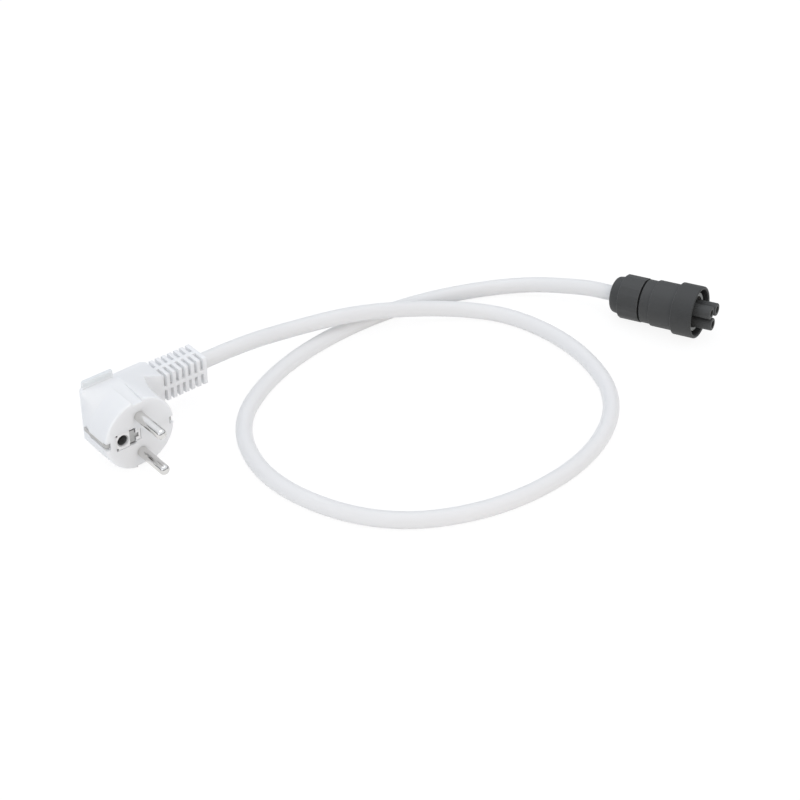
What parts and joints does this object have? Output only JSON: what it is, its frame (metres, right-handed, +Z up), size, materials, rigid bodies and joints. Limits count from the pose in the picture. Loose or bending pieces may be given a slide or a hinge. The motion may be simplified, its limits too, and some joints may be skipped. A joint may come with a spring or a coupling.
{
  "type": "power cord",
  "caption": "Power cord with an angled two-pin earthed plug, a round white cable in one loose loop and a round dark three-pole connector.",
  "frame": {"origin": "centre of the plug's round face, in the plane the pins stand on", "axes": "+X along the pins, away from the plug; +Y along the cable where it leaves the plug; +Z up as the cord lies on a floor"},
  "size_m": [0.1652, 0.2907, 0.038],
  "materials": {
    "plug_pvc": "satin",
    "bridge_plastic": "satin",
    "nickel_brass": "polished",
    "earth_strip": "satin",
    "brown_insulation": "satin",
    "blue_insulation": "satin",
    "green_yellow_insulation": "satin",
    "cable_pvc": "satin",
    "dark_polyamide": "matt",
    "black_rubber": "matt",
    "grey_silicone": "matt",
    "contact_brass": "satin"
  },
  "bodies": {
    "root": {"plug_body": "plug_pvc", "pin_bridge": "bridge_plastic", "line_pin": "nickel_brass", "neutral_pin": "nickel_brass", "earth_bracket": "earth_strip", "earth_socket": "earth_strip", "plug_line_core": "brown_insulation", "plug_neutral_core": "blue_insulation", "plug_earth_core": "green_yellow_insulation", "cable_sheath": "cable_pvc", "gland_nut": "dark_polyamide", "gland_seal": "black_rubber", "gland_clamp": "dark_polyamide", "connector_housing": "dark_polyamide", "coupling_collar": "dark_polyamide", "contact_carrier": "dark_polyamide", "seal_ring": "grey_silicone", "line_contact": "contact_brass", "neutral_contact": "contact_brass", "earth_contact": "contact_brass", "connector_line_core": "brown_insulation", "connector_neutral_core": "blue_insulation", "connector_earth_core": "green_yellow_insulation"}
  },
  "joints": []
}
